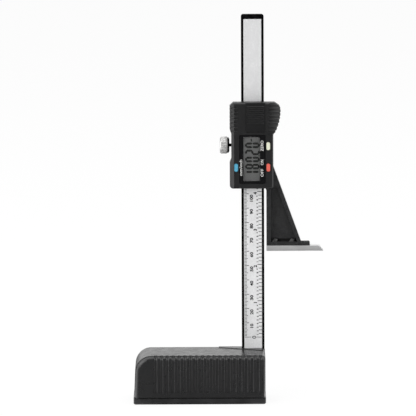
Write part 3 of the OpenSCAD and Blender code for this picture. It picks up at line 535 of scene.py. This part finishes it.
brass = plated("brass", (0.72, 0.5, 0.2), 0.25)
dress("lock_nut", brass)
dress("lock_pad", brass)


def thumb_steel(name, shank):
    """Turned steel: nickel-plated on the knob, oil-black on the shank, and near black on the knob's
    inner rim as a painted dark reflection.
    """
    finish = Finish(name)
    marks = finish.noise(0.35 * MM, 4.0, finish.stretched(0.15, 1, 1), 0.7)
    tarnish = finish.noise(2.0 * MM, 3.0)
    tone = (tarnish * 0.6 + marks * 0.4).ramp((0.35, 0), (0.65, 1))
    tone = tone.mix((0.46, 0.455, 0.45), (0.78, 0.775, 0.765))
    # Oil-black shank, and a painted dark reflection on the knob's inner rim, from this point across
    oil_black_and_shaded = finish.place.axis(0) > shank
    return finish.close(oil_black_and_shaded.mix(tone, (0.004, 0.004, 0.004)),
                        0.24 + 0.06 * tarnish + 0.1 * marks + 0.1 * oil_black_and_shaded, marks, 0.004 * MM,
                        Metallic=0.6 + 0.4 * oil_black_and_shaded)


shank_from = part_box("lock_screw")[0].x + 5.2 * MM
fit(soften(welded("lock_screw"), 0.1 * MM, 40), "thumb_screw", "lock_screw_body", "knob_steel",
    thumb_steel("thumb_steel", shank_from), "lock_screw", smooth=28)


# Display case: the moulded front of the slider, waisted at the lock and swept out to a ribbed thumb
# grip, with a slide for the battery door, holes for three keys and a seat for the bezel.

case_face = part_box("display_case")[0].y
first_groove, groove_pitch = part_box("display_case")[1].z - 2.4 * MM, 2.5 * MM


def kept_inside(work, node):
    """Draws back the few corners that the bevel has pushed out of the node's box."""
    low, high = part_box(node)
    for vert in work.verts:
        vert.co = [min(max(vert.co[i], low[i]), high[i]) for i in range(3)]
    return work


def rounded(finish):
    """A height that lets the thumb grip's slanting face fall away to the right, rib by rib."""
    past, up = (finish.place.axis(0) - grip_inner) / MM, finish.place.axis(2)
    slanting = (finish.place.axis(1) > case_face + 0.02 * MM) * (up > grip_foot)
    rib = up.maths("COSINE", (up - first_groove) / groove_pitch * 2 * pi)
    fall = past * (0.35 - 0.0385 * past) - 0.13 * rib * past.maths("MINIMUM", past, 1)
    return (past > 0) * slanting * fall


case_plastic = moulded("case_plastic", (0.003, 0.003, 0.0035), (0.009, 0.009, 0.0095), 0.38,
                       shine=0.46, crown=rounded)
case = kept_inside(soften(welded("display_case"), 0.12 * MM, 40, where=plain_edge), "display_case")
fit(case, "case", "slider", "case_grey", case_plastic, "display_case", smooth=26)


# Battery door: a moulded cover with lips in the case's slide and nine thumb ribs. It draws up and
# out to free the button cell.

door_plastic = moulded("door_plastic", (0.001, 0.001, 0.0015), (0.006, 0.006, 0.0065), 0.36,
                       shine=0.42)
fit(soften(welded("battery_door"), 0.12 * MM, 30), "door", "battery_door_body", "case_grey",
    door_plastic, "battery_door", smooth=26)


# Bezel: a thin glossy black frame that is glued into the face of the case, with the names of the
# three keys printed on it in white.


def gloss_black(name):
    finish = Finish(name)
    film = finish.noise(1.5 * MM, 3.0)
    return finish.close(film.mix((0.002, 0.002, 0.0025), (0.004, 0.004, 0.0045)), 0.14 + 0.1 * film,
                        film, 0.004 * MM, Specular_IOR_Level=0.2)


fit(soften(welded("display_bezel"), 0.15 * MM, 40), "bezel", "slider", "bezel_black",
    gloss_black("gloss_black"), "display_bezel")
bezel_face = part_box("display_bezel")[0].y
names = bmesh.new()
# Words, the place of their middle across and up, and their length, in millimetres
for words, x, z, length in (("ZERO", 43.4, 176.1, 7.3), ("ON", 43.4, 164.7, 3.6),
                            ("OFF", 43.4, 157.5, 5.4), ("mm/inch", 28.8, 161.1, 11.0)):
    lettering(names, words, 1.9 * MM, (x * MM, bezel_face, z * MM), length * MM)
fit(names, "key_names", "slider", "bezel_black", ink("white_ink", (0.78, 0.78, 0.76)))


# Display: a twisted nematic glass behind a clear acrylic window, with dark seven-segment figures
# and two elastic strips that join it to the circuit board.


def display_grey(name):
    finish = Finish(name)
    cloud = finish.noise(5 * MM, 2.0)
    return finish.close(cloud.mix((0.092, 0.093, 0.092), (0.110, 0.111, 0.110)),
                        0.35 + 0.1 * cloud, cloud, 0.002 * MM, Specular_IOR_Level=0.15)


def acrylic(name):
    finish = Finish(name)
    wipe = finish.noise(0.8 * MM, 3.0, finish.stretched(0.2, 1, 1))
    clear = finish.tree.node("BsdfTransparent")
    sheen = finish.tree.node("BsdfAnisotropic", {}, {"Roughness": 0.05 + 0.05 * wipe})
    finish.tree.node("OutputMaterial", {}, {0: finish.tree.node("MixShader", {}, {
        0: 0.004 + 0.012 * wipe, 1: clear, 2: sheen})})
    return finish.material


def elastic(name):
    finish = Finish(name)
    up = finish.place.axis(2) / (0.5 * MM)
    layers = up.maths("FRACT", up) > 0.5
    return finish.close(layers.mix((0.75, 0.42, 0.45), (0.02, 0.02, 0.02)),
                        0.5 + 0.1 * finish.noise(1 * MM))


dress("lcd_glass", display_grey("display_grey"))
dress("display_window", acrylic("clear_acrylic"))
dress("lcd_connectors", elastic("elastic_strip"))

glass_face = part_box("lcd_glass")[0].y
FIGURES = {"0": "abcdef", "1": "bc", "2": "abdeg", "8": "abcdefg"}
figure_w, figure_h, stroke = 3.9 * MM, 10.2 * MM, 1.45 * MM
half_w, half_h = (figure_w - stroke) / 2, (figure_h - stroke) / 2
PLACES = {"a": (0, half_h, 0), "b": (half_w, half_h / 2, 1), "c": (half_w, -half_h / 2, 1),
          "d": (0, -half_h, 0), "e": (-half_w, -half_h / 2, 1), "f": (-half_w, half_h / 2, 1),
          "g": (0, 0, 0)}


def segment(work, seat, x, y, upright):
    """One pointed segment of a figure, in the figure's own frame, moved to seat."""
    span = (half_h if upright else 2 * half_w) - 0.12 * MM
    verts = bmesh.ops.create_grid(work, x_segments=3, y_segments=1, size=0.5)["verts"]
    for vert in verts:
        tip = abs(vert.co.x) > 0.4
        side = 1 if vert.co.x > 0 else -1
        vert.co.x = side * (span / 2 - (0 if tip else stroke / 2))
        vert.co.y *= stroke * (0.08 if tip else 1)
    turn = Matrix.Rotation(pi / 2 if upright else 0, 4, "Z")
    bmesh.ops.transform(work, matrix=seat @ Matrix.Translation((x, y, 0.06 * MM)) @ turn,
                        verts=verts)


figures = bmesh.new()
# Each figure and the height of its middle in millimetres
for figure, z in (("1", 156.7), ("8", 161.6), ("0", 166.5), ("2", 171.4), ("0", 176.3)):
    seat = Matrix.Translation((36.8 * MM, glass_face, z * MM)) @ to_front_upward
    for part in FIGURES[figure]:
        segment(figures, seat, *PLACES[part])
line(figures, 40.9 * MM, 41.6 * MM, 169.0 * MM, 0.7 * MM, glass_face)
line(figures, 35.6 * MM, 36.5 * MM, 179.9 * MM, 1.8 * MM, glass_face)
fit(figures, "figures", "slider", "lcd", ink("display_black", (0.006, 0.007, 0.006), 0.3))


# Electronics: a green circuit board across the slider, with the measuring chip under a round of
# black resin and three snap domes for the keys.


def circuit(name):
    finish = Finish(name)
    across, up = finish.place.axis(0) / (1.1 * MM), finish.place.axis(2) / (1.1 * MM)
    lines = across.maths("FRACT", across + 3 * finish.noise(8 * MM, 0.0)) > 0.62
    pads = finish.spots(2.4 * MM) < 0.22
    tone = lines.mix((0.012, 0.11, 0.045), (0.03, 0.2, 0.08))
    tone = pads.mix(tone, (0.75, 0.6, 0.28))
    return finish.close(tone, 0.32 + 0.1 * up.maths("FRACT", up), lines + pads, 0.02 * MM,
                        Metallic=pads)


dress("main_board", circuit("circuit_board"))
dress("sensor_chip", moulded("potting_resin", (0.008, 0.008, 0.008), (0.014, 0.014, 0.015), 0.2,
                             1.2 * MM))
dress("key_domes", plated("dome_steel", (0.68, 0.67, 0.65), 0.2))


# Keys: three moulded caps, cream for zero, red for on and off, blue for the unit. Each has a flange
# behind the face and a stem that rests on its dome.

for node, name, slot, dark, light in (
        ("zero_key", "cream_cap", "key_cream", (0.60, 0.61, 0.47), (0.70, 0.71, 0.57)),
        ("power_key", "red_cap", "key_red", (0.58, 0.075, 0.05), (0.68, 0.11, 0.075)),
        ("unit_key", "blue_cap", "key_blue", (0.045, 0.27, 0.42), (0.07, 0.34, 0.50))):
    cap = soften(welded(node), 0.3 * MM, 40, segments=3)
    fit(cap, name, node + "_body", slot, moulded(slot + "_plastic", dark, light, 0.3, 0.2 * MM,
                                                 0.006 * MM), node, smooth=40)


# Battery: a nickel-plated button cell in the well of the case, between two gilt spring contacts
# that lead to the circuit board.

cell_steel = plated("cell_steel", (0.66, 0.65, 0.62), 0.24)
gilt = plated("gilt_contact", (0.82, 0.64, 0.3), 0.25)
fit(soften(welded("battery"), 0.15 * MM, 30), "button_cell", "slider", "cell_steel", cell_steel,
    "battery")
for node in ("battery_contact_negative", "battery_contact_positive"):
    dress(node, gilt)


# Arm: a triangular moulding with a rim round a thin web. Its tongue lies in the slider, held by two
# screws from behind.


def recessed(name, face, foot):
    """Moulded plastic, mottled, and with painted shade where the web meets the foot: near black and
    matt there.
    """
    finish = Finish(name)
    grains, cloud = finish.noise(0.8 * MM, 3.0), finish.noise(2.2 * MM, 2.0)
    sunk = finish.place.axis(1) > face + 0.5 * MM
    # Painted shade: where the web meets the foot, the recess is coloured near black
    painted_shade_corner = sunk * (finish.place.axis(2) < foot + 0.3 * MM)
    tone = (grains * 0.6 + cloud * 0.4).ramp((0.3, 0), (0.7, 1))
    tone = tone.mix((0.002, 0.002, 0.0025), (0.024, 0.024, 0.025))
    return finish.close(painted_shade_corner.mix(tone, (0.001, 0.001, 0.001)), 0.36 + 0.1 * grains + 0.5 * painted_shade_corner,
                        grains, 0.012 * MM, Specular_IOR_Level=0.55)


arm_face, arm_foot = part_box("arm_bracket")[0].y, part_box("measuring_blade")[1].z + 4 * MM
fit(soften(welded("arm_bracket"), 0.25 * MM, 40, where=long_edge), "arm", "slider",
    "moulded_black", recessed("arm_plastic", arm_face, arm_foot), "arm_bracket", smooth=28)
rear_screws("arm_screws", "arm_fixing_screws", "slider", "screw_bright", bright_zinc, 0.9 * MM,
            0.95 * MM, 4 * MM)


# Blade: a bar of hardened steel, ground on all faces, with its tip bevelled to a measuring edge.
# Two screws hold it up against the arm's foot, their heads drawn tapered and taller than the solids'.


def ground_steel(name):
    finish = Finish(name)
    marks = finish.noise(0.22 * MM, 5.0, finish.stretched(0.03, 1, 1), 0.75)
    broad = finish.noise(1.4 * MM, 2.0, finish.stretched(0.1, 1, 1))
    smear = finish.noise(5 * MM, 3.0)
    up = (finish.place.axis(2) - blade_low) / blade_thick
    worn = (marks * 0.5 + broad * 0.3 + smear * 0.2).ramp((0.3, 0), (0.7, 1))
    # Painted light and shade: the steel is coloured lighter towards the blade's top and darker
    # towards its bottom
    tone = (worn * 0.45 + up * 0.55).mix((0.66, 0.66, 0.665), (1.0, 1.0, 1.0))
    return finish.close(tone, 0.38 + 0.14 * marks + 0.06 * smear, marks, 0.01 * MM, Metallic=1.0)


blade_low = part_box("measuring_blade")[0].z
blade_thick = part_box("measuring_blade")[1].z - blade_low
fit(soften(welded("measuring_blade"), 0.12 * MM), "blade", "slider", "blade_steel",
    ground_steel("ground_steel"), "measuring_blade")

heads_raised = 0.7 * MM
blade_heads = bmesh.new()
for low, high in centres("blade_screws", 0, 1, 3 * MM):
    middle = (low + high) / 2
    radius = (high.x - low.x) / 2
    seat = Matrix.Translation((middle.x, middle.y, high.z + heads_raised))
    cross_screw(blade_heads, seat, radius, 2.08 * MM, 1.25 * MM, high.z - low.z + heads_raised,
                0.5)
bmesh.ops.recalc_face_normals(blade_heads, faces=blade_heads.faces)
fit(blade_heads, "blade_fixing_screws", "slider", "screw_bright",
    plated("oiled_steel", (0.16, 0.16, 0.16), 0.36), "blade_screws", smooth=40)


# Studio: a wide pale floor that the camera sees as white but for the gauge's faint shadow, lamps at
# the front left, the right, above and low in front, and a surround that mirrors bright at the
# sides and dark in front, so that the black plastics show their edges.

SURROUND = ((0.08, 0.077), (0.2, 0.1), (0.33, 1.0), (0.575, 1.0), (0.65, 0.06), (0.825, 0.06),
            (0.92, 0.42))
mirror_glow, sky_glow, floor_white, floor_glow_share = 2.6, 0.62, 1.04, 0.86
floor_mesh = bpy.data.meshes.new("floor")
floor_work = bmesh.new()
bmesh.ops.create_grid(floor_work, x_segments=1, y_segments=1, size=9)
floor_work.to_mesh(floor_mesh)
floor_work.free()
floor = bpy.data.objects.new("floor", floor_mesh)
bpy.context.scene.collection.objects.link(floor)
paper = Finish("floor_paper")
fibre = paper.noise(40 * MM, 3.0)
seen = paper.tree.node("LightPath", out=0)
for kind in (3, 6):
    seen = seen.maths("MAXIMUM", seen, paper.tree.node("LightPath", out=kind))
soft = paper.tree.node("BsdfDiffuse", {}, {0: fibre.mix((0.79, 0.79, 0.79), (0.81, 0.81, 0.81))})
camera_share = paper.tree.node("LightPath", out=0)
across, ahead = paper.place.axis(0), paper.place.axis(1)
heading = ahead / across.maths("SQRT", across * across + ahead * ahead) * 0.5 + 0.5
mirrored = mirror_glow * heading.ramp(*SURROUND[:-1])
lit = paper.tree.node("Emission", {}, {0: (1, 1, 1, 1),
                                       1: mirrored + (floor_white - mirrored) * camera_share})
paper.tree.node("OutputMaterial", {}, {0: paper.tree.node("MixShader", {}, {
    0: seen * floor_glow_share, 1: soft, 2: lit})})
floor_mesh.materials.append(paper.material)

world = bpy.data.worlds.new("studio")
world.use_nodes = True
world.node_tree.nodes.clear()
sky = Wire(world.node_tree)
toward = sky.node("TexCoord", out=0)
heading = toward.axis(1) * 0.5 + 0.5
glossy = sky.node("LightPath", out=3)
camera_ray = sky.node("LightPath", out=0)
strength = sky_glow * (1 - glossy) + glossy * mirror_glow * heading.ramp(*SURROUND)
strength = camera_ray + (1 - camera_ray) * strength
sky.node("OutputWorld", {}, {0: sky.node("Background", {}, {0: (1, 1, 1, 1), 1: strength})})
bpy.context.scene.world = world


def softbox(name, spot, aim, width, height, watts, mirrored=True):
    data = bpy.data.lights.new(name, "AREA")
    data.shape, data.size, data.size_y, data.energy = "RECTANGLE", width, height, watts
    lamp = bpy.data.objects.new(name, data)
    bpy.context.scene.collection.objects.link(lamp)
    lamp.visible_glossy = mirrored
    lamp.location = spot
    lamp.rotation_euler = (Vector(aim) - Vector(spot)).to_track_quat("-Z", "Y").to_euler()


middle = (0.006, 0.0, 0.13)
softbox("key_light", (-1.3, -1.5, 1.0), middle, 1.2, 1.2, 16)
softbox("fill_light", (1.6, -1.1, 0.7), middle, 0.9, 1.2, 7, False)
softbox("top_light", (0.0, 0.3, 1.9), middle, 1.4, 1.4, 12, False)
softbox("low_fill", (0.2, -1.8, 0.3), middle, 1.2, 0.6, 7, False)


# Camera: a long lens, 3.4 m away and straight in front, which looks eight degrees down and leans
# a quarter of a degree, as the photograph does.

pitch, roll, away = radians(8.08), radians(-0.25), 3.43
view = bpy.data.cameras.new("camera")
view.lens, view.sensor_width, view.clip_end = 431.05, 36, 100
camera = bpy.data.objects.new("camera", view)
bpy.context.scene.collection.objects.link(camera)
aim = Vector((6.19 * MM, 12.0 * MM, 131.74 * MM))
camera.matrix_world = (Matrix.Translation(aim + away * Vector((0, -cos(pitch), sin(pitch))))
                       @ Matrix.Rotation(pi / 2 - pitch, 4, "X") @ Matrix.Rotation(roll, 4, "Z"))
bpy.context.scene.camera = camera
bpy.context.scene.view_settings.view_transform = "Standard"
